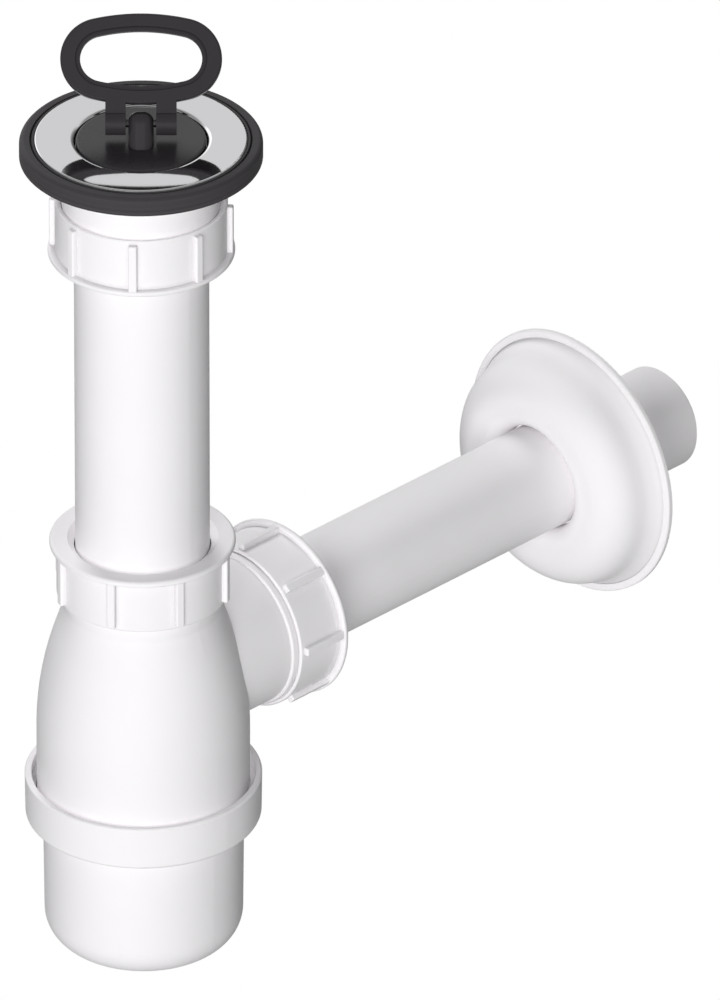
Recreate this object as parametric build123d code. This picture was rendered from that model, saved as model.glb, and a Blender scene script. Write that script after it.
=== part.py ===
from build123d import *
import os
from math import acos, atan2, cos, hypot, sin, tan

# Bottle trap for a wash basin, with its waste, plug and wall flange.
# Millimetres, +Z up, with the outlet pipe along +Y. The sizes below are counted from the middle
# of the waste, under the gasket. The finished pieces have their origin on the outlet's axis,
# in the plane of the wall.

# Clearances between pieces that fit together
PIN_GAP = 0.06          # hinge pin in the knuckles and in the post
PIPE_GAP = 0.4          # pipes in nuts, sockets and the wall flange
SEAL_GAP = 0.1          # rubber lips on the pipes
THREAD_GAP = 0.3        # nuts and cup over the threaded ends
SEAT_GAP = 0.3          # rubber cones in their seats
FIT_GAP = 0.1           # pieces set into one another for good

# Pipes
TAIL_R = 20.0
TAIL_WALL = 1.8
OUTLET_R = 16.0
OUTLET_WALL = 1.8
PIPE_CHAMFER = 0.8

# Places of the joints along the two axes
WASTE_NUT_Z = -32.4     # closed face of the nut under the waste
NECK_NUT_Z = -129.8     # closed face of the nut on the bottle's neck
OUTLET_Z = -177.6       # axis of the outlet
OUTLET_NUT_Y = 59.0     # closed face of the nut on the outlet
WALL_Y = 181.4          # wall face of the wall flange

# Threaded ends and the compression nuts on them
THREAD_R = 23.6
THREAD_DEPTH = 0.6      # root of the threads under their crests
THREAD_START = 2.5      # plain lead at the end of a thread
THREAD_L = 9.3
NUT_H = 18.0
NUT_FLOOR = 3.0
NUT_RIM_R = 27.7
NUT_RIM_H = 1.8
NUT_BARREL_R = 25.6
NUT_LEAD = 0.8
MOUTH_WIDTH = 2.0       # chamfer round the pipe hole
MOUTH_DEPTH = 2.0
RIB_COUNT = 8
RIB_R = 27.3
RIB_W = 2.6
RIB_ROUND = 0.5
RIB_SHORT = 1.1         # end of the ribs before the open end of the nut
WASTE_NUT_TURN = -50.0
NECK_NUT_TURN = 65.0
OUTLET_NUT_TURN = 48.0

# Rubber cone washers in the nuts, and the seats they press into
SEAL_FLANGE = 2.0
SEAL_PLAY = 0.5
CONE_BASE_R = 22.4
CONE_LEN = 4.5
CONE_SLOPE = 1 / 3

# Gasket on the basin
GASKET_R = 36.0
GASKET_H = 5.9
GASKET_REBATE = 0.8     # recess under the gasket for the flange of the waste body
GASKET_ROUND = 1.5
GROOVE_R = 32.6
GROOVE_W = 0.7

# Pressed steel flange with its bowl
FLANGE_R = 31.5
FLANGE_PROUD = 0.3
SHEET = 1.0
BOWL_R = 19.6
BOWL_BEND = 1.6
SEAT_Z = -2.6
SEAT_W = 2.7
BOWL_FLOOR_Z = -8.6
STRAINER_R = 14.5
STRAINER_HUB_R = 7.0
STRAINER_BAR = 3.6
STRAINER_BARS = 3

# Plug, its post, the pin and the pull
PLUG_GAP = 0.3
PLUG_TAPER = 0.4
PLUG_BELOW = 0.3        # top of the plug under the top of the flange
PLUG_WALL = 4.0
PLUG_ROUND = 0.6
PLUG_TURN = 45.0
PIN_R = 1.2
PIN_HEIGHT = 5.24       # pin axis above the plug
POST_W = 7.4
POST_R = 3.5
POST_FOOT = 6.8
POST_ROUND = 2.8
KNUCKLE_R = 3.5
KNUCKLE_INNER = 4.5     # from the middle of the pin to a knuckle's inner face
KNUCKLE_W = 6.0
PULL_OFFSET = 19.0      # pin axis to the middle of the oval
PULL_HALF_W = 23.85
PULL_HALF_H = 13.4
PULL_END_R = 12.1
PULL_BAND = 5.3         # width of the ring above and below its hole
PULL_ENDS = 5.85        # width of the ring at both ends
PULL_T = 4.2
PULL_STEP = 1.5         # sunk border round the hole, on both faces
PULL_STEP_DEPTH = 0.5
PULL_ROUND = 0.7
PULL_LEAN = 35.2

# Clamping screw and its insert
SCREW_R = 3.0
SCREW_HEAD_R = 5.4
SCREW_HEAD_H = 2.8
SCREW_SLOT = 1.4
SCREW_END = 1.5         # screw end past the insert
INSERT_R = 5.0
INSERT_L = 10.0

# Waste body
BODY_FLANGE_R = 29.5
BODY_FLANGE_H = 3.0
BODY_UNDER_ROUND = 2.0
BOWL_CLEAR = 0.5
BODY_BORE_R = 18.2
BODY_STOP_Z = -16.0     # shoulder that stops the tailpipe
HUB_WALL = 2.4
HUB_TOP_GAP = 0.5
ARM_W = 3.0
ARM_H = 5.0
ARM_COUNT = 4

# Bottle
BOTTLE_R = 31.8
BOTTLE_WALL = 2.2
NECK_SHOWN = 4.8        # plain neck between its nut and the flare
FLARE_H = 24.9          # from the neck to the corner between flare and wall
FLARE_BLEND = 17.1      # reach of the rounding on both sides of that corner
SKIRT_THREAD = 6.0      # length of the thread for the cup
SKIRT_LEAD = 0.8
STOP_R = 24.4           # ring on the spigot that the nut stops at
STOP_W = 2.0
STOP_ROUND = 0.7

# Cup
COLLAR_GAP = 1.5        # open ring between the bottle and the mouth of the cup
COLLAR_TOP = -210.2
COLLAR_H = 13.9
COLLAR_WALL = 2.1
COLLAR_LEAD = 4.0
COLLAR_FLOOR = 2.1
COLLAR_DRAFT = 0.2
COLLAR_ROUND = 1.2
CUP_INSET = 1.8         # cup wall inside the bottle's
CUP_DRAFT = 0.45
CUP_BOTTOM = -267.0
CUP_ROUND = 10.3
CUP_WALL = 2.2
CUP_SEAL_H = 2.0
CUP_SEAL_OVERLAP = 0.8

# Lengths of the pipes
DIP_GAP = 21.0          # end of the tailpipe above the floor of the cup
OUTLET_IN_Y = 34.0
OUTLET_OUT = 37.3       # outlet pipe past the wall face
MARK_W = 1.0            # scored ring that shows how far the pipe goes into the wall
MARK_DEPTH = 0.3
MARK_BACK = 2.0

# Wall flange
ROSE_R = 42.0
ROSE_LIP = 1.8
ROSE_LIP_W = 2.4
ROSE_RISE = 0.5
ROSE_SHOULDER_R = 34.2
ROSE_FLARE_R = 37.3
ROSE_FLARE_D = 6.0
ROSE_DEPTH = 18.7
ROSE_WALL = 1.6
ROSE_FLARE_ROUND = 9.0
ROSE_SHOULDER_ROUND = 11.7
ROSE_HOLE_ROUND = 5.0
ROSE_COLLAR = 7.0

# Sizes that follow from the ones above
FLANGE_TOP = GASKET_H + FLANGE_PROUD
PLUG_TOP = FLANGE_TOP - PLUG_BELOW
PIN_Z = PLUG_TOP + PIN_HEIGHT
BODY_TOP = GASKET_REBATE
FIT_END = NUT_FLOOR + SEAL_FLANGE + SEAT_GAP
SOCKET_R = TAIL_R + PIPE_GAP
NUT_BORE_R = THREAD_R + THREAD_GAP
CUP_BORE_R = BOTTLE_R + THREAD_GAP
COLLAR_R = BOTTLE_R + COLLAR_GAP + COLLAR_WALL
CUP_R = BOTTLE_R - CUP_INSET
LEDGE_Z = COLLAR_TOP - COLLAR_H + COLLAR_FLOOR
BOTTLE_END = LEDGE_Z + CUP_SEAL_H
TAIL_TOP = BODY_STOP_Z - PIPE_GAP
TAIL_END = CUP_BOTTOM + CUP_WALL + DIP_GAP
OUTLET_END_Y = WALL_Y + OUTLET_OUT

# Each compression joint in its own frame, with local Z from the nut into the fitting
WASTE_JOINT = Location((0, 0, WASTE_NUT_Z))
NECK_JOINT = Location((0, 0, NECK_NUT_Z), (180, 0, 0))
OUTLET_JOINT = Location((0, OUTLET_NUT_Y, OUTLET_Z), (90, 0, 0))
WALL_FRAME = Location((0, WALL_Y, OUTLET_Z), (90, 0, 0))
PULL_FRAME = Location((0, 0, PIN_Z), (0, 0, PLUG_TURN))
WALL_ORIGIN = Location((0, -WALL_Y, -OUTLET_Z))


def turned(*corners):
    """A body of revolution about Z, from the (radius, height, rounding) corners of its half section."""
    points = [(r, z) for r, z, _ in corners]
    rounds = [rounding for _, _, rounding in corners]
    outline = FilletPolyline(*points, radius=rounds, close=True)
    return revolve(make_face(Plane.XZ * outline), Axis.Z)


def bar(radius, low, high):
    """A round bar about Z between two heights."""
    return Pos(0, 0, low) * extrude(Circle(radius), amount=high - low)


def make_gasket():
    rest_r = BODY_FLANGE_R + THREAD_GAP
    lip_r = FLANGE_R + FIT_GAP
    bore_r = BOWL_R + BOWL_BEND + BOWL_CLEAR
    under_flange = FLANGE_TOP - SHEET
    return turned(
        (bore_r, BODY_TOP, 0),
        (rest_r, BODY_TOP, 0),
        (rest_r, 0, 0),
        (GASKET_R, 0, GASKET_ROUND / 4),
        (GASKET_R, GASKET_H, GASKET_ROUND),
        (GROOVE_R + GROOVE_W / 2, GASKET_H, 0),
        (GROOVE_R, GASKET_H - GROOVE_W, 0),
        (GROOVE_R - GROOVE_W / 2, GASKET_H, 0),
        (lip_r, GASKET_H, 0),
        (lip_r, under_flange, 0),
        (bore_r, under_flange, 0),
    )


def make_waste_flange():
    seat_r = BOWL_R - SEAT_W
    under = FLANGE_TOP - SHEET
    sheet = turned(
        (0, BOWL_FLOOR_Z, 0),
        (seat_r, BOWL_FLOOR_Z, 0),
        (seat_r, SEAT_Z, 0),
        (BOWL_R, SEAT_Z, 0),
        (BOWL_R, FLANGE_TOP, BOWL_BEND),
        (FLANGE_R, FLANGE_TOP, SHEET / 2),
        (FLANGE_R, under, 0),
        (BOWL_R + SHEET, under, BOWL_BEND - SHEET),
        (BOWL_R + SHEET, SEAT_Z - SHEET, 0),
        (seat_r + SHEET, SEAT_Z - SHEET, 0),
        (seat_r + SHEET, BOWL_FLOOR_Z - SHEET, 0),
        (0, BOWL_FLOOR_Z - SHEET, 0),
    )
    slots = Circle(STRAINER_R) - Circle(STRAINER_HUB_R)
    for i in range(STRAINER_BARS):
        slots -= Rot(0, 0, i * 180 / STRAINER_BARS) * Rectangle(2 * STRAINER_R, STRAINER_BAR)
    strainer = Pos(0, 0, BOWL_FLOOR_Z - SHEET) * extrude(slots, amount=SHEET)
    return sheet - strainer - bar(SCREW_R + PIPE_GAP, BOWL_FLOOR_Z - SHEET, BOWL_FLOOR_Z)


def make_plug():
    top_r = BOWL_R - PLUG_GAP
    disc = turned(
        (0, PLUG_TOP - PLUG_WALL, 0),
        (top_r - PLUG_WALL, PLUG_TOP - PLUG_WALL, 1.0),
        (top_r - PLUG_WALL, SEAT_Z, 0),
        (top_r - PLUG_TAPER, SEAT_Z, 0),
        (top_r, PLUG_TOP, PLUG_ROUND),
        (0, PLUG_TOP, 0),
    )
    # the arch of the post is tangent to the round about the pin and splays down to its foot
    foot = atan2(-PIN_HEIGHT, POST_FOOT)
    touch = foot + acos(POST_R / hypot(PIN_HEIGHT, POST_FOOT))
    side = (POST_R * cos(touch), POST_R * sin(touch))
    arch = make_face(
        Line((-POST_FOOT, -PIN_HEIGHT), (POST_FOOT, -PIN_HEIGHT))
        + Line((POST_FOOT, -PIN_HEIGHT), side)
        + ThreePointArc(side, (0, POST_R), (-side[0], side[1]))
        + Line((-side[0], side[1]), (-POST_FOOT, -PIN_HEIGHT))
    )
    post = extrude(Plane.YZ * arch, amount=POST_W / 2, both=True)
    flanks = post.faces().filter_by(Axis.X)
    rims = [e for face in flanks for e in face.edges() if e.center().Z > -PIN_HEIGHT + PIN_GAP]
    post = fillet(rims, POST_ROUND)
    pin_hole = Rot(0, 90, 0) * bar(PIN_R + PIN_GAP, -POST_W, POST_W)
    return disc + PULL_FRAME * (post - pin_hole)


def make_pin():
    reach = KNUCKLE_INNER + KNUCKLE_W
    return PULL_FRAME * Rot(0, 90, 0) * bar(PIN_R, -reach, reach)


def oval(half_w, half_h, end_r):
    """Oval of four arcs that run smoothly into one another."""
    end_x = half_w - end_r
    rise = half_h - end_r
    drop = (end_x**2 - rise**2) / (2 * rise)
    turn = atan2(drop, end_x)
    x = end_x + end_r * cos(turn)
    y = end_r * sin(turn)
    return make_face(
        ThreePointArc((x, y), (0, half_h), (-x, y))
        + ThreePointArc((-x, y), (-half_w, 0), (-x, -y))
        + ThreePointArc((-x, -y), (0, -half_h), (x, -y))
        + ThreePointArc((x, -y), (half_w, 0), (x, y))
    )


def make_pull():
    middle = Pos(0, 0, PULL_OFFSET) * Rot(90, 0, 0)
    inner = (PULL_HALF_W - PULL_ENDS, PULL_HALF_H - PULL_BAND, PULL_END_R - PULL_BAND)
    ring = extrude(oval(PULL_HALF_W, PULL_HALF_H, PULL_END_R), amount=PULL_T / 2, both=True)
    ring = fillet(ring.edges().filter_by(Axis.Z, reverse=True), PULL_ROUND)
    ring -= extrude(oval(*inner), amount=PULL_T, both=True)
    border = extrude(oval(*[size + PULL_STEP for size in inner]), amount=PULL_T)
    sunk = Pos(0, 0, PULL_T / 2 - PULL_STEP_DEPTH) * border
    ring -= sunk
    ring -= Rot(180, 0, 0) * sunk
    pull = middle * ring
    neck_top = PULL_OFFSET - PULL_HALF_H + PULL_BAND / 2
    for side in (-1, 1):
        x = side * (KNUCKLE_INNER + KNUCKLE_W / 2)
        pull += Pos(x, 0, neck_top / 2) * Box(KNUCKLE_W, PULL_T, neck_top)
        pull += Pos(x - KNUCKLE_W / 2, 0, 0) * Rot(0, 90, 0) * bar(KNUCKLE_R, 0, KNUCKLE_W)
    reach = KNUCKLE_INNER + 2 * KNUCKLE_W
    pull -= Rot(0, 90, 0) * bar(PIN_R + PIN_GAP, -reach, reach)
    return PULL_FRAME * Rot(-PULL_LEAN, 0, 0) * pull


def make_clamp_screw():
    insert_low = BOWL_FLOOR_Z - SHEET - HUB_TOP_GAP - INSERT_L
    head = turned(
        (0, BOWL_FLOOR_Z, 0),
        (SCREW_HEAD_R, BOWL_FLOOR_Z, 0),
        (SCREW_HEAD_R, BOWL_FLOOR_Z + SCREW_HEAD_H, SCREW_HEAD_H * 0.7),
        (0, BOWL_FLOOR_Z + SCREW_HEAD_H, 0),
    )
    slot = Pos(0, 0, BOWL_FLOOR_Z + SCREW_HEAD_H) * Box(3 * SCREW_HEAD_R, SCREW_SLOT, SCREW_HEAD_H)
    return head - slot + bar(SCREW_R, insert_low - SCREW_END, BOWL_FLOOR_Z)


def make_screw_insert():
    top = BOWL_FLOOR_Z - SHEET - HUB_TOP_GAP
    return bar(INSERT_R, top - INSERT_L, top) - bar(SCREW_R + PIN_GAP, top - INSERT_L, top)


def socket_cut(depth):
    """Seat for a cone washer and the pipe socket behind it, cut into a threaded end."""
    seat_r = CONE_BASE_R + SEAT_GAP
    seat_depth = (seat_r - SOCKET_R) / CONE_SLOPE
    return turned(
        (0, FIT_END - SEAL_FLANGE, 0),
        (seat_r, FIT_END - SEAL_FLANGE, 0),
        (seat_r, FIT_END, 0),
        (SOCKET_R, FIT_END + seat_depth, 0),
        (SOCKET_R, FIT_END + depth, 0),
        (0, FIT_END + depth, 0),
    )


def thread_cut():
    """Root of the thread on a threaded end."""
    low = FIT_END + THREAD_START
    root = bar(THREAD_R - THREAD_DEPTH, low, low + THREAD_L)
    return bar(THREAD_R + THREAD_DEPTH, low, low + THREAD_L) - root


def make_waste_body():
    end_z = WASTE_NUT_Z + FIT_END
    bowl_r = BOWL_R + SHEET + BOWL_CLEAR
    hub_top = BOWL_FLOOR_Z - SHEET - HUB_TOP_GAP
    funnel_low = hub_top - HUB_WALL
    body = turned(
        (bowl_r, BODY_TOP, 0),
        (BODY_FLANGE_R, BODY_TOP, 0),
        (BODY_FLANGE_R, BODY_TOP - BODY_FLANGE_H, BODY_FLANGE_H / 4),
        (THREAD_R, BODY_TOP - BODY_FLANGE_H, BODY_UNDER_ROUND),
        (THREAD_R, end_z, 0),
        (BODY_BORE_R, end_z, 0),
        (BODY_BORE_R, funnel_low, 0),
        (bowl_r, hub_top, 0),
    )
    body -= WASTE_JOINT * socket_cut(BODY_STOP_Z - end_z)
    body -= WASTE_JOINT * thread_cut()
    hub_r = INSERT_R + HUB_WALL
    hub = bar(hub_r, hub_top - INSERT_L, hub_top)
    arm_z = hub_top - ARM_H / 2
    for i in range(ARM_COUNT):
        reach = BODY_BORE_R + HUB_WALL / 2
        arm = Pos(reach / 2, 0, arm_z) * Box(reach, ARM_W, ARM_H)
        hub += Rot(0, 0, (i + 0.5) * 360 / ARM_COUNT) * arm
    hub -= bar(INSERT_R + PIN_GAP, hub_top - INSERT_L, hub_top)
    return body + hub


def make_nut(pipe_r, turn):
    """Compression nut with its closed face at Z = 0 and its thread above."""
    hole_r = pipe_r + PIPE_GAP
    nut = turned(
        (hole_r, NUT_FLOOR, 0),
        (hole_r, MOUTH_DEPTH, 0),
        (hole_r + MOUTH_WIDTH, 0, 0.3),
        (NUT_RIM_R, 0, NUT_RIM_H * 0.55),
        (NUT_RIM_R, NUT_RIM_H, NUT_RIM_H * 0.35),
        (NUT_BARREL_R, NUT_RIM_H, 0),
        (NUT_BARREL_R, NUT_H, 0.4),
        (NUT_BORE_R + NUT_LEAD, NUT_H, 0),
        (NUT_BORE_R, NUT_H - NUT_LEAD, 0),
        (NUT_BORE_R, NUT_FLOOR, 0),
    )
    root_r = (NUT_BORE_R + NUT_LEAD + NUT_BARREL_R) / 2
    section = Pos((root_r + RIB_R) / 2, 0) * Rectangle(RIB_R - root_r, RIB_W)
    section = fillet(section.vertices().sort_by(Axis.X)[-2:], RIB_ROUND)
    rib = extrude(section, amount=NUT_H - RIB_SHORT - NUT_RIM_H / 2)
    end = rib.faces().sort_by(Axis.Z)[-1].edges().sort_by(Axis.X)[1:]
    rib = Pos(0, 0, NUT_RIM_H / 2) * fillet(end, RIB_ROUND)
    for i in range(RIB_COUNT):
        nut += Rot(0, 0, turn + i * 360 / RIB_COUNT) * rib
    return nut


def make_cone_seal(pipe_r):
    """Cone washer as it lies in a nut, flange on the nut's floor."""
    bore_r = pipe_r + SEAL_GAP
    rim_r = NUT_BORE_R - SEAL_PLAY
    base_z = NUT_FLOOR + SEAL_FLANGE
    return turned(
        (bore_r, NUT_FLOOR, 0),
        (rim_r, NUT_FLOOR, 0),
        (rim_r, base_z, SEAL_FLANGE / 4),
        (CONE_BASE_R, base_z, 0),
        (CONE_BASE_R - CONE_SLOPE * CONE_LEN, base_z + CONE_LEN, 0),
        (bore_r, base_z + CONE_LEN, 0),
    )


def make_tailpipe():
    bore_r = TAIL_R - TAIL_WALL
    return turned(
        (bore_r, TAIL_END, 0),
        (TAIL_R - PIPE_CHAMFER, TAIL_END, 0),
        (TAIL_R, TAIL_END + PIPE_CHAMFER, 0),
        (TAIL_R, TAIL_TOP - PIPE_CHAMFER, 0),
        (TAIL_R - PIPE_CHAMFER, TAIL_TOP, 0),
        (bore_r, TAIL_TOP, 0),
    )


def make_bottle():
    neck_end = NECK_NUT_Z - FIT_END
    flare_top = NECK_NUT_Z - NUT_H - NECK_SHOWN
    corner_z = flare_top - FLARE_H
    angle = atan2(BOTTLE_R - THREAD_R, FLARE_H)
    flare_r = FLARE_BLEND / tan(angle / 2)
    skirt_top = BOTTLE_END + SKIRT_LEAD + SKIRT_THREAD
    outside = turned(
        (0, neck_end, 0),
        (THREAD_R, neck_end, 0),
        (THREAD_R, flare_top, 3.0),
        (BOTTLE_R, corner_z, flare_r),
        (BOTTLE_R, skirt_top, 0),
        (BOTTLE_R - THREAD_DEPTH, skirt_top, 0),
        (BOTTLE_R - THREAD_DEPTH, BOTTLE_END + SKIRT_LEAD, 0),
        (BOTTLE_R, BOTTLE_END + SKIRT_LEAD, 0),
        (BOTTLE_R, BOTTLE_END, 0),
        (0, BOTTLE_END, 0),
    )
    spigot_end = OUTLET_NUT_Y - FIT_END
    stop_z = NUT_H + SEAT_GAP
    spigot = bar(THREAD_R, FIT_END, OUTLET_NUT_Y) + turned(
        (0, stop_z, 0),
        (STOP_R, stop_z, 0),
        (STOP_R, stop_z + STOP_W, STOP_ROUND),
        (0, stop_z + STOP_W, 0),
    )
    bottle = outside + OUTLET_JOINT * spigot
    # the inside follows the outside one wall further in
    inner_r = BOTTLE_R - BOTTLE_WALL
    inner_corner = corner_z - BOTTLE_WALL * tan(angle / 2)
    inner_top = inner_corner + (inner_r - SOCKET_R) / tan(angle)
    bottle -= turned(
        (0, inner_top, 0),
        (SOCKET_R, inner_top, 0),
        (inner_r, inner_corner, flare_r - BOTTLE_WALL),
        (inner_r, BOTTLE_END, 0),
        (0, BOTTLE_END, 0),
    )
    bottle -= NECK_JOINT * socket_cut(neck_end - inner_top)
    bottle -= NECK_JOINT * thread_cut()
    bottle -= OUTLET_JOINT * socket_cut(spigot_end)
    bottle -= OUTLET_JOINT * thread_cut()
    return bottle


def make_cup():
    collar_low = COLLAR_TOP - COLLAR_H
    lead_r = COLLAR_R - COLLAR_WALL
    lead_low = COLLAR_TOP - COLLAR_LEAD
    low_r = CUP_R - CUP_DRAFT
    floor = CUP_BOTTOM + CUP_WALL
    return turned(
        (lead_r, lead_low, 0),
        (lead_r, COLLAR_TOP, 0.4),
        (COLLAR_R, COLLAR_TOP, 0.7),
        (COLLAR_R - COLLAR_DRAFT, collar_low, COLLAR_ROUND),
        (CUP_R, collar_low, 0),
        (low_r, CUP_BOTTOM, CUP_ROUND),
        (0, CUP_BOTTOM, 0),
        (0, floor, 0),
        (low_r - CUP_WALL, floor, CUP_ROUND - CUP_WALL),
        (CUP_R - CUP_WALL, LEDGE_Z, 0),
        (CUP_BORE_R, LEDGE_Z, 0),
        (CUP_BORE_R, lead_low - (lead_r - CUP_BORE_R), 0),
    )


def make_cup_seal():
    inner_r = BOTTLE_R - BOTTLE_WALL - CUP_SEAL_OVERLAP
    return turned(
        (inner_r, LEDGE_Z, 0),
        (BOTTLE_R, LEDGE_Z, 0),
        (BOTTLE_R, BOTTLE_END, 0),
        (inner_r, BOTTLE_END, 0),
    )


def make_outlet_pipe():
    bore_r = OUTLET_R - OUTLET_WALL
    length = OUTLET_END_Y - OUTLET_IN_Y
    mark = WALL_Y - MARK_BACK - OUTLET_IN_Y
    pipe = turned(
        (bore_r, 0, 0),
        (OUTLET_R - PIPE_CHAMFER, 0, 0),
        (OUTLET_R, PIPE_CHAMFER, 0),
        (OUTLET_R, mark - MARK_W, 0),
        (OUTLET_R - MARK_DEPTH, mark - MARK_W / 2, 0),
        (OUTLET_R, mark, 0),
        (OUTLET_R, length - PIPE_CHAMFER, 0),
        (OUTLET_R - PIPE_CHAMFER, length, 0),
        (bore_r, length, 0),
    )
    return Pos(0, OUTLET_IN_Y, OUTLET_Z) * Rot(-90, 0, 0) * pipe


def make_wall_flange():
    hole_r = OUTLET_R + PIPE_GAP
    lip_r = ROSE_R - ROSE_LIP_W
    back = ROSE_DEPTH - ROSE_COLLAR
    bell = turned(
        (hole_r, back, 0),
        (hole_r, ROSE_DEPTH, ROSE_HOLE_ROUND),
        (ROSE_SHOULDER_R, ROSE_DEPTH, ROSE_SHOULDER_ROUND),
        (ROSE_FLARE_R, ROSE_FLARE_D, ROSE_FLARE_ROUND),
        (lip_r, ROSE_LIP - ROSE_RISE, 0),
        (lip_r, ROSE_LIP, 0.3),
        (ROSE_R, ROSE_LIP, 0.6),
        (ROSE_R, 0, 0.3),
        (lip_r - ROSE_WALL, 0, 0),
        (ROSE_FLARE_R - ROSE_WALL, ROSE_FLARE_D - ROSE_WALL, ROSE_FLARE_ROUND),
        (ROSE_SHOULDER_R - ROSE_WALL, ROSE_DEPTH - ROSE_WALL, ROSE_SHOULDER_ROUND - ROSE_WALL),
        (hole_r + ROSE_WALL, ROSE_DEPTH - ROSE_WALL, ROSE_HOLE_ROUND - ROSE_WALL),
        (hole_r + ROSE_WALL, back, 0),
    )
    return WALL_FRAME * bell


PIECES = {
    "flange_gasket": make_gasket(),
    "waste_flange": make_waste_flange(),
    "plug": make_plug(),
    "plug_pin": make_pin(),
    "plug_handle": make_pull(),
    "clamp_screw": make_clamp_screw(),
    "screw_insert": make_screw_insert(),
    "waste_body": make_waste_body(),
    "waste_seal": WASTE_JOINT * make_cone_seal(TAIL_R),
    "waste_nut": WASTE_JOINT * make_nut(TAIL_R, WASTE_NUT_TURN),
    "tailpipe": make_tailpipe(),
    "neck_seal": NECK_JOINT * make_cone_seal(TAIL_R),
    "neck_nut": NECK_JOINT * make_nut(TAIL_R, NECK_NUT_TURN),
    "bottle_body": make_bottle(),
    "cup_seal": make_cup_seal(),
    "bottle_cup": make_cup(),
    "outlet_seal": OUTLET_JOINT * make_cone_seal(OUTLET_R),
    "outlet_nut": OUTLET_JOINT * make_nut(OUTLET_R, OUTLET_NUT_TURN),
    "outlet_pipe": make_outlet_pipe(),
    "wall_flange": make_wall_flange(),
}

os.makedirs("parts", exist_ok=True)
for name, piece in PIECES.items():
    export_step(WALL_ORIGIN * piece, f"parts/{name}.step")
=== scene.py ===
from math import radians

import bpy
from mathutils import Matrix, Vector


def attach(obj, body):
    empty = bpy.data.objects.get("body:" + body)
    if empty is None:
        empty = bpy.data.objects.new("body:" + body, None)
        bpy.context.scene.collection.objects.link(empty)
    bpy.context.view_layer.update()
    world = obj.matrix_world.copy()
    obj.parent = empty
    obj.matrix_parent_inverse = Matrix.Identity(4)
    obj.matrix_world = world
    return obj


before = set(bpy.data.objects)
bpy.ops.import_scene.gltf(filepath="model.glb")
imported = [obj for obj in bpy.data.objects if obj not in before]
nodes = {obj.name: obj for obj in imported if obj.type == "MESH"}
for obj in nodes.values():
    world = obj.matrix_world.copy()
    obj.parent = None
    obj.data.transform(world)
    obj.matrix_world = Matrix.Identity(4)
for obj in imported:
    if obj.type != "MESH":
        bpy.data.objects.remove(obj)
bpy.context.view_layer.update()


# Waste body: moulded white polypropylene under the basin, drawn up against the gasket by the
# clamping screw. Its surface has the fine grain of a spark-eroded mould and a soft satin gloss.
# The male thread for the waste nut is a ridge screwed round it.
def linear(code):
    """An sRGB hex colour as linear RGBA."""
    channels = [int(code[i:i + 2], 16) / 255 for i in (1, 3, 5)]
    return [c / 12.92 if c <= 0.04045 else ((c + 0.055) / 1.055) ** 2.4 for c in channels] + [1.0]


def add(tree, kind, inputs=(), **properties):
    """A node with its properties set and its inputs given values or linked to other outputs."""
    node = tree.nodes.new(kind)
    for name, value in properties.items():
        setattr(node, name, value)
    for name, value in dict(inputs).items():
        if isinstance(value, bpy.types.NodeSocket):
            tree.links.new(value, node.inputs[name])
        else:
            node.inputs[name].default_value = value
    return node


def compute(tree, operation, *values):
    """The result of a math node."""
    node = add(tree, "ShaderNodeMath", dict(enumerate(values)), operation=operation)
    return node.outputs["Value"]


def map_range(tree, value, **limits):
    """A value carried over to another range, with limits such as to_min or from_max."""
    inputs = {name.replace("_", " ").title(): limit for name, limit in limits.items()}
    return add(tree, "ShaderNodeMapRange", {"Value": value, **inputs}).outputs["Result"]


def noise(tree, place, size_mm, detail):
    """A noise pattern with features of about the given size."""
    inputs = {"Vector": place, "Scale": 1000 / size_mm, "Detail": detail}
    return add(tree, "ShaderNodeTexNoise", inputs).outputs["Fac"]


def line_noise(tree, along, size_mm, detail):
    """A noise pattern that changes along one measure only."""
    inputs = {"W": along, "Scale": 1000 / size_mm, "Detail": detail}
    return add(tree, "ShaderNodeTexNoise", inputs, noise_dimensions="1D").outputs["Fac"]


def start_material(name):
    """An empty node material with its output, and the object's own coordinates in metres."""
    material = bpy.data.materials.new(name)
    material.use_nodes = True
    tree = material.node_tree
    tree.nodes.clear()
    output = add(tree, "ShaderNodeOutputMaterial")
    place = add(tree, "ShaderNodeTexCoord").outputs["Object"]
    return material, tree, output, place


def set_surface(tree, output, inputs):
    """The material's surface, joined to its output."""
    surface = add(tree, "ShaderNodeBsdfPrincipled", inputs)
    tree.links.new(surface.outputs["BSDF"], output.inputs["Surface"])


def finish_node(name, material):
    """The material of a CAD node."""
    nodes[name].material_slots[0].material = material


waste_y = -0.1814


def waste_radius(tree, place):
    """The distance from the upright axis of waste and bottle, in metres."""
    centred = add(
        tree, "ShaderNodeVectorMath", {0: place, 1: (0, waste_y, 0)}, operation="SUBTRACT"
    )
    level = add(
        tree,
        "ShaderNodeVectorMath",
        {0: centred.outputs["Vector"], 1: (1, 1, 0)},
        operation="MULTIPLY",
    )
    length = add(tree, "ShaderNodeVectorMath", {0: level.outputs["Vector"]}, operation="LENGTH")
    return length.outputs["Value"]


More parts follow.
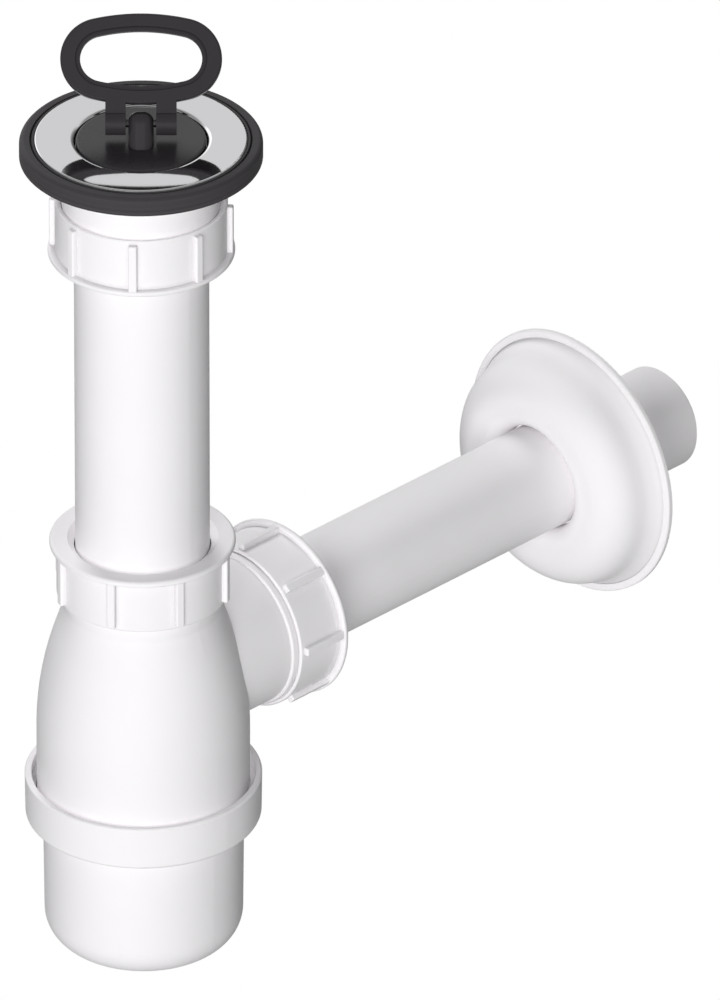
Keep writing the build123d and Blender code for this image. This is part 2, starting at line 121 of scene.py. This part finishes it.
def moulded(name, dark, pale, rough, grain_mm, grain_depth_mm, specular, corner_shade_level, ring_mm=0):
    """Moulded plastic or rubber: mould grain as bump, slow drifts of tone and gloss, and painted
    shade darkening inside corners. Turning marks of the mould run round the waste's axis where
    ring_mm is given."""
    drift_mm = 28
    gloss_drift = 0.05
    corner_reach = 0.0015
    material, tree, output, place = start_material(name)
    drift = noise(tree, place, drift_mm, 3.0)
    shading = drift
    if ring_mm:
        height = add(tree, "ShaderNodeSeparateXYZ", {"Vector": place}).outputs["Z"]
        across = compute(tree, "ADD", waste_radius(tree, place), height)
        shading = line_noise(tree, across, ring_mm, 2.0)
    tone = add(tree, "ShaderNodeMix", {"Factor": shading}, data_type="RGBA")
    tone.inputs["A"].default_value = linear(dark)
    tone.inputs["B"].default_value = linear(pale)
    gloss = map_range(tree, drift, to_min=rough - gloss_drift, to_max=rough + gloss_drift)
    bump = add(
        tree,
        "ShaderNodeBump",
        {
            "Height": noise(tree, place, grain_mm, 2.0),
            "Distance": grain_depth_mm / 1000,
            "Strength": 0.6,
        },
    )
    # Painted shade: ambient occlusion within the part itself darkens the base colour in inside
    # corners and steps.
    inside = add(
        tree,
        "ShaderNodeAmbientOcclusion",
        {"Distance": corner_reach},
        samples=8,
        only_local=True,
    )
    painted_corner_shade = map_range(tree, inside.outputs["AO"], from_min=0.55, from_max=0.95, to_min=corner_shade_level)
    colour = add(
        tree, "ShaderNodeVectorMath", {0: tone.outputs["Result"], "Scale": painted_corner_shade}, operation="SCALE"
    )
    set_surface(
        tree,
        output,
        {
            "Base Color": colour.outputs["Vector"],
            "Roughness": gloss,
            "Specular IOR Level": specular,
            "Normal": bump.outputs["Normal"],
        },
    )
    return material


polypropylene = moulded(
    "white_polypropylene",
    dark="#F4F2F4",
    pale="#F8F6F8",
    rough=0.42,
    grain_mm=0.5,
    grain_depth_mm=0.012,
    specular=0.3,
    corner_shade_level=0.85,
)
finish_node("waste_body", polypropylene)


def thread(name, body, start, turn, radius, pitch, turns):
    """Rounded male thread: one ridge of half-round section, screwed along its axis."""
    ridge_height = 0.00055
    steps = 64
    bpy.ops.object.select_all(action="DESELECT")
    bpy.ops.mesh.primitive_circle_add(vertices=10, radius=ridge_height, location=(radius, 0, 0))
    ridge = bpy.context.active_object
    ridge.name = name
    ridge.rotation_euler = (radians(90), 0, 0)
    bpy.ops.object.transform_apply(location=True, rotation=True, scale=True)
    helix = ridge.modifiers.new("helix", "SCREW")
    helix.axis = "Z"
    helix.angle = radians(360)
    helix.screw_offset = pitch
    helix.iterations = turns
    helix.steps = steps
    helix.render_steps = steps
    helix.use_normal_calculate = True
    bpy.ops.object.modifier_apply(modifier="helix")
    ridge.rotation_euler = turn
    ridge.location = start
    bpy.ops.object.transform_apply(location=True, rotation=True, scale=True)
    bpy.ops.object.shade_smooth()
    ridge.data.materials.append(polypropylene)
    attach(ridge, body)


upright = (0, 0, 0)
nut_thread = {"radius": 0.02302, "pitch": 0.002309, "turns": 3}
thread("waste_thread", "waste", (0, waste_y, 0.1534), upright, **nut_thread)

# Gasket: a thick ring of black moulded rubber between the steel flange and the waste body,
# held by the clamping screw. Matt, with a coarser grain than the plastic and fine turning marks.
rubber = moulded(
    "black_moulded_rubber",
    dark="#282628",
    pale="#504D50",
    rough=0.62,
    grain_mm=0.7,
    grain_depth_mm=0.03,
    specular=0.3,
    corner_shade_level=0.4,
    ring_mm=0.7,
)
finish_node("flange_gasket", rubber)

# Steel flange and bowl: pressed stainless sheet, polished in rings about its axis and clamped
# on the gasket by the centre screw, which has the same finish.
steel, tree, output, place = start_material("polished_stainless_steel")
rings = line_noise(tree, waste_radius(tree, place), 0.35, 3.0)
lines = add(tree, "ShaderNodeBump", {"Height": rings, "Distance": 0.000001, "Strength": 0.2})
set_surface(
    tree,
    output,
    {
        "Base Color": linear("#CBCACC"),
        "Metallic": 1.0,
        "Roughness": map_range(tree, rings, to_min=0.02, to_max=0.06),
        "Normal": lines.outputs["Normal"],
    },
)
finish_node("waste_flange", steel)
finish_node("clamp_screw", steel)

# Insert: a turned brass bush moulded into the hub of the waste body. It takes the thread of the
# clamping screw.
brass, tree, output, place = start_material("turned_brass")
turning_mm = 2.5
turning = add(
    tree,
    "ShaderNodeTexWave",
    {"Vector": place, "Scale": 1000 / turning_mm, "Distortion": 0.4},
    bands_direction="Z",
)
gloss = map_range(tree, turning.outputs["Fac"], to_min=0.25, to_max=0.4)
set_surface(
    tree, output, {"Base Color": linear("#C9A557"), "Metallic": 1.0, "Roughness": gloss}
)
finish_node("screw_insert", brass)

# Plug and pull: black moulded plastic with a fine matt grain, and painted shade darkening its
# corners. The plug rests in the bowl, and the pull turns on a pin through the plug's post.
black = moulded(
    "black_moulded_plastic",
    dark="#302D30",
    pale="#363336",
    rough=0.28,
    grain_mm=0.35,
    grain_depth_mm=0.006,
    specular=0.25,
    corner_shade_level=0.25,
)
finish_node("plug", black)
finish_node("plug_handle", black)

# Pin: drawn stainless wire, dull and dark. It is held in the plug's post, and the two knuckles of
# the pull turn on it.
wire, tree, output, place = start_material("dull_steel_wire")
dull = map_range(tree, noise(tree, place, 0.4, 2.0), to_min=0.4, to_max=0.55)
set_surface(
    tree, output, {"Base Color": linear("#6A686A"), "Metallic": 1.0, "Roughness": dull}
)
finish_node("plug_pin", wire)

# Waste nut and its washer: white ribbed compression nut that screws on the waste body and
# presses a dark rubber cone washer onto the tailpipe.
washer_rubber = moulded(
    "grey_washer_rubber",
    dark="#3C3C3E",
    pale="#464649",
    rough=0.58,
    grain_mm=0.6,
    grain_depth_mm=0.02,
    specular=0.4,
    corner_shade_level=0.5,
)
finish_node("waste_nut", polypropylene)
finish_node("waste_seal", washer_rubber)

# Tailpipe: plain white polypropylene tube, held by its washers in the waste above and the bottle
# below. Its lower end dips into the cup.
finish_node("tailpipe", polypropylene)

# Bottle with its neck nut and washer: white moulded bottle with a side outlet, held on the
# tailpipe by the nut on its neck.
finish_node("bottle_body", polypropylene)
finish_node("neck_nut", polypropylene)
finish_node("neck_seal", washer_rubber)
thread("neck_thread", "bottle", (0, waste_y, 0.0312), upright, **nut_thread)

# Cup and its flat washer: white moulded cup that screws on the bottle's skirt and comes off for
# cleaning. The skirt has a coarse thread of one turn.
finish_node("bottle_cup", polypropylene)
finish_node("cup_seal", washer_rubber)
thread(
    "skirt_thread", "bottle", (0, waste_y, -0.0405), upright, radius=0.03122, pitch=0.004, turns=1
)

# Outlet with its nut, washer and wall flange: plain white tube pushed through a washer in the
# side outlet, with a bell-shaped cover that slides along it to the wall.
finish_node("outlet_pipe", polypropylene)
finish_node("outlet_nut", polypropylene)
finish_node("outlet_seal", washer_rubber)
finish_node("wall_flange", polypropylene)
toward_wall = (radians(-90), 0, 0)
thread("spigot_thread", "bottle", (0, -0.1389, 0), toward_wall, **nut_thread)

# Floor: plain pale paint half a metre below, where a room's floor would be. It gives soft light
# back from underneath. The camera looks past it at plain white.
bpy.ops.object.select_all(action="DESELECT")
bpy.ops.mesh.primitive_circle_add(
    vertices=96, radius=4.0, fill_type="NGON", location=(0, 0, -0.6)
)
floor = bpy.context.active_object
floor.name = "floor"
floor.visible_camera = False
floor_paint, tree, output, place = start_material("pale_floor_paint")
set_surface(tree, output, {"Base Color": linear("#B2B2B2"), "Roughness": 0.6})
floor.data.materials.append(floor_paint)

# Light: a broad soft key from the left of the camera, half of it without shadows, and a rim light
# from behind the left. The camera sees plain white. Reflections show a grey studio with a white
# wall at the back, a bright panel at its left end, a dark one at its right end, and a pale panel
# in place of the key, so that polished metal shows no glare.
key_way = (0.53, -0.802, 0.276)
world = bpy.data.worlds.new("studio")
bpy.context.scene.world = world
world.use_nodes = True
tree = world.node_tree
tree.nodes.clear()
ray = add(tree, "ShaderNodeLightPath")
facing = add(tree, "ShaderNodeTexCoord").outputs["Generated"]
regions = []
for way, outer, inner in (
    ((-0.7071, 0.7071, 0), 0.35, 0.6),
    ((0, 0, 1), 0.15, 0.35),
    ((-0.952, 0.273, 0.12), 0.88, 0.96),
    (key_way, 0.86, 0.95),
    ((-0.273, 0.952, 0.12), 0.88, 0.96),
):
    along = add(tree, "ShaderNodeVectorMath", {0: facing, 1: way}, operation="DOT_PRODUCT")
    regions.append(map_range(tree, along.outputs["Value"], from_min=outer, from_max=inner))
back, high, bright_end, front, dark_end = regions
room_level = 0.42
wall_level = 1.0
wall = compute(tree, "MULTIPLY", back, high)
room = compute(tree, "MULTIPLY_ADD", wall, wall_level - room_level, room_level)
shade = compute(tree, "MULTIPLY_ADD", dark_end, -0.6, 1.0)
shaded = compute(tree, "MULTIPLY", room, shade)
lit = compute(tree, "MULTIPLY_ADD", bright_end, 1.0, shaded)
studio = compute(tree, "MULTIPLY_ADD", front, 0.55, lit)
plain = linear("#FFFFFF")
surround = add(tree, "ShaderNodeBackground", {"Color": plain, "Strength": 0.15})
mirrored = add(tree, "ShaderNodeBackground", {"Color": plain, "Strength": studio})
white = add(tree, "ShaderNodeBackground", {"Color": plain, "Strength": 1.0})
unseen = add(
    tree,
    "ShaderNodeMixShader",
    {
        0: ray.outputs["Is Glossy Ray"],
        1: surround.outputs["Background"],
        2: mirrored.outputs["Background"],
    },
)
both = add(
    tree,
    "ShaderNodeMixShader",
    {
        0: ray.outputs["Is Camera Ray"],
        1: unseen.outputs["Shader"],
        2: white.outputs["Background"],
    },
)
add(tree, "ShaderNodeOutputWorld", {"Surface": both.outputs["Shader"]})

target = Vector((0.0236, -0.1135, 0.0419))
lamp_distance = 3.0
for name, way, size, power, shadow in (
    ("key", key_way, 1.4, 38.4, True),
    ("key_fill", key_way, 1.4, 38.4, False),
    ("rim", (-0.663, 0.383, 0.643), 1.2, 51.0, True),
):
    lamp = bpy.data.lights.new(name, "AREA")
    lamp.shape = "DISK"
    lamp.size = size
    lamp.energy = power
    lamp.use_shadow = shadow
    holder = bpy.data.objects.new(name, lamp)
    holder.location = target + Vector(way).normalized() * lamp_distance
    holder.rotation_euler = Vector(way).to_track_quat("Z", "Y").to_euler()
    holder.visible_glossy = False
    bpy.context.scene.collection.objects.link(holder)

# Camera: a long lens from the right-hand front, 45 degrees round and 30 degrees up, far enough
# away that the tubes look almost parallel.
lens = bpy.data.cameras.new("camera")
lens.lens = 1200
lens.sensor_width = 36
camera = bpy.data.objects.new("camera", lens)
toward = Vector((-0.612988, 0.608362, -0.504125))
aim = Vector((0.0233, -0.11364, 0.04209))
camera_distance = 9.9178
camera.location = aim - toward * camera_distance
camera.rotation_euler = toward.to_track_quat("-Z", "Y").to_euler()
bpy.context.scene.collection.objects.link(camera)
bpy.context.scene.camera = camera
bpy.context.scene.view_settings.view_transform = "Standard"
